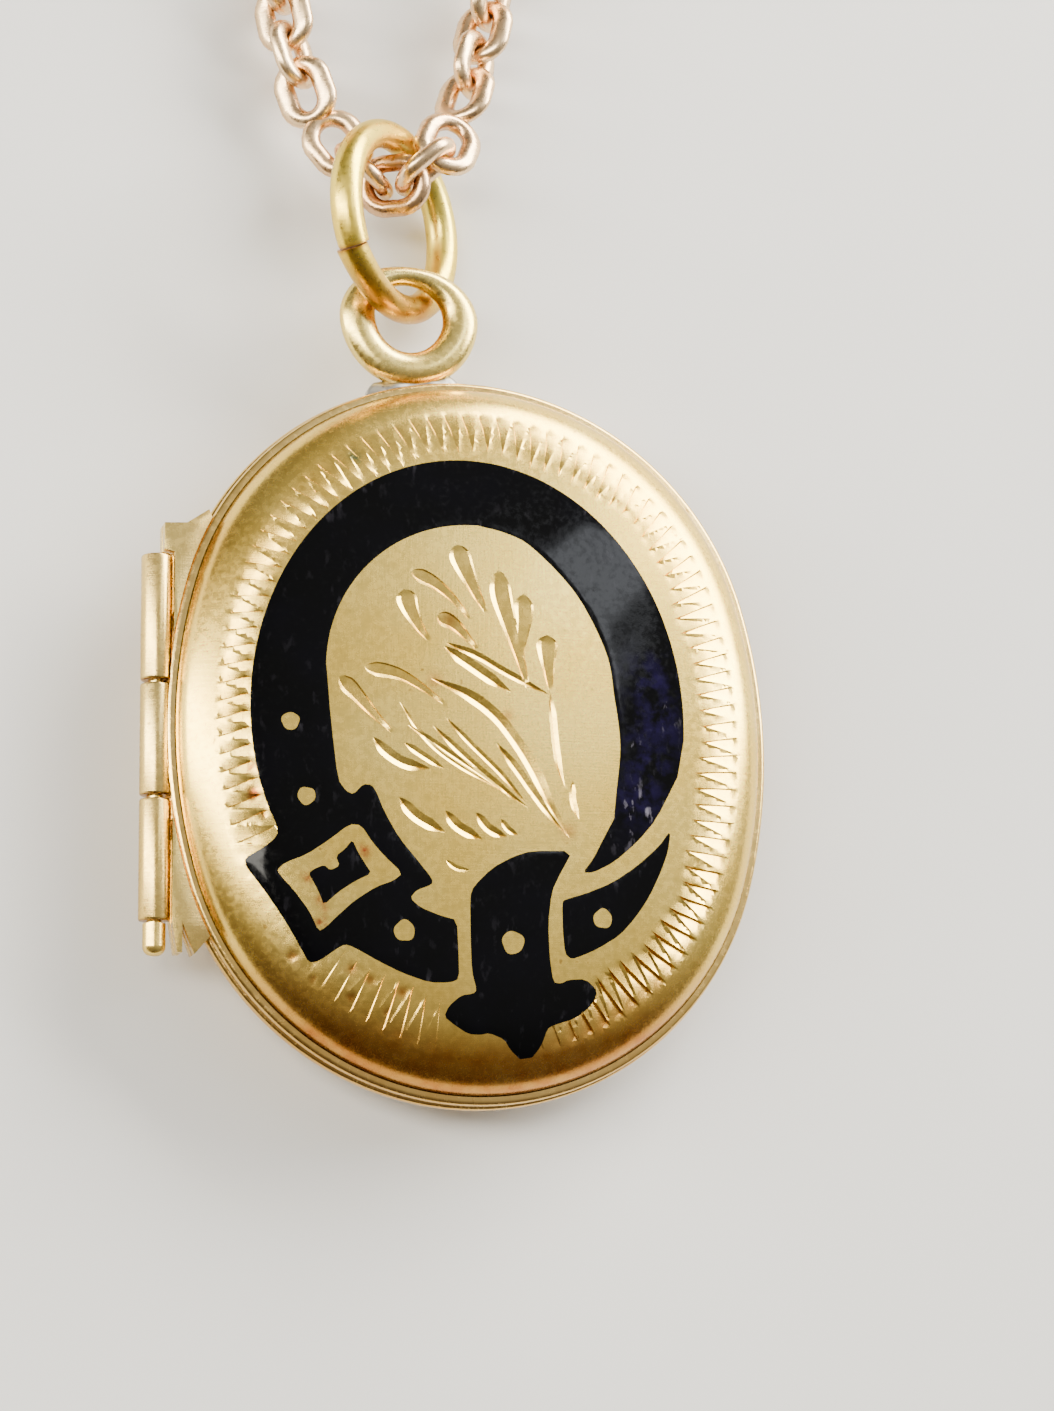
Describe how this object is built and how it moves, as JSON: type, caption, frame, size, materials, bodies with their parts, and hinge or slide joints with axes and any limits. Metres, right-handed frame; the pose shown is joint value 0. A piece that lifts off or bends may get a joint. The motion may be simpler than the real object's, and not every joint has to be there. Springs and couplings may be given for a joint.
{
  "type": "locket",
  "caption": "Oval hinged gold locket with an enamelled buckle strap on its lid, a bail, a jump ring and a fine cable chain.",
  "frame": {"origin": "centre of the flat back of the case", "axes": "+Z out of the lid, +Y towards the bail, the hinge on the -X side"},
  "size_m": [0.0286, 0.0742, 0.005],
  "materials": {
    "gold_lid": "satin, worn pale yellow gold",
    "gold_back": "satin, worn yellow gold",
    "gold_bead": "polished by wear",
    "gold_ring": "polished lemon-yellow gold",
    "gold_chain": "polished rose-toned gold",
    "gold_hinge": "worn, darker in the joints",
    "gold_inside": "polished",
    "solder": "dull grey solder",
    "enamel_black": "gloss vitreous enamel, near black",
    "cover_clear": "clear, slightly aged",
    "card_aged": "aged card",
    "spring_steel": "drawn wire"
  },
  "bodies": {
    "chain": {"chain_ring_links": "gold_chain", "chain_run_left": "gold_chain", "chain_run_right": "gold_chain", "chain_coil_left": "gold_chain", "chain_coil_right": "gold_chain", "clasp_body": "gold_ring", "clasp_jump_ring": "gold_ring", "chain_end_ring": "gold_ring"},
    "ring": {"jump_ring": "gold_ring"},
    "case": {"back_shell": "gold_back", "back_bead": "gold_bead", "back_leaf": "gold_hinge", "knuckle_top": "gold_hinge", "knuckle_bottom": "gold_hinge", "hinge_pin": "gold_hinge", "catch_lip": "gold_inside", "bail_loop": "gold_ring", "bail_solder": "solder", "back_frame": "gold_inside", "back_cover": "cover_clear", "back_card": "card_aged"},
    "lid": {"front_shell": "gold_lid", "front_bead": "gold_bead", "front_leaf": "gold_hinge", "knuckle_middle": "gold_hinge", "enamel_strap": "enamel_black", "enamel_buckle_window": "enamel_black", "enamel_tail": "enamel_black", "enamel_stub": "enamel_black", "front_frame": "gold_inside", "front_cover": "cover_clear", "front_card": "card_aged"},
    "bolt": {"clasp_bolt": "gold_ring", "clasp_spring": "spring_steel"}
  },
  "joints": [
    {"name": "ring_swing", "type": "hinge", "parent": "chain", "child": "ring", "pos_m": [-0.00237, 0.01874, 0.00235], "axis": [0.682, 0, 0.7314], "range_deg": [-6, 0]},
    {"name": "locket_swing", "type": "hinge", "parent": "ring", "child": "case", "pos_m": [-0.00199, 0.01449, 0.00219], "axis": [0.718, 0.174, -0.674], "range_deg": [-10, 0]},
    {"name": "lid_hinge", "type": "hinge", "parent": "case", "child": "lid", "pos_m": [-0.01025, 0, 0.0025], "axis": [0, -1, 0], "range_deg": [0, 175]},
    {"name": "clasp_bolt_slide", "type": "hinge", "parent": "chain", "child": "bolt", "pos_m": [-0.0039, 0.0492, 0.00068], "axis": [0, 0, 1], "range_deg": [0, 45]}
  ]
}
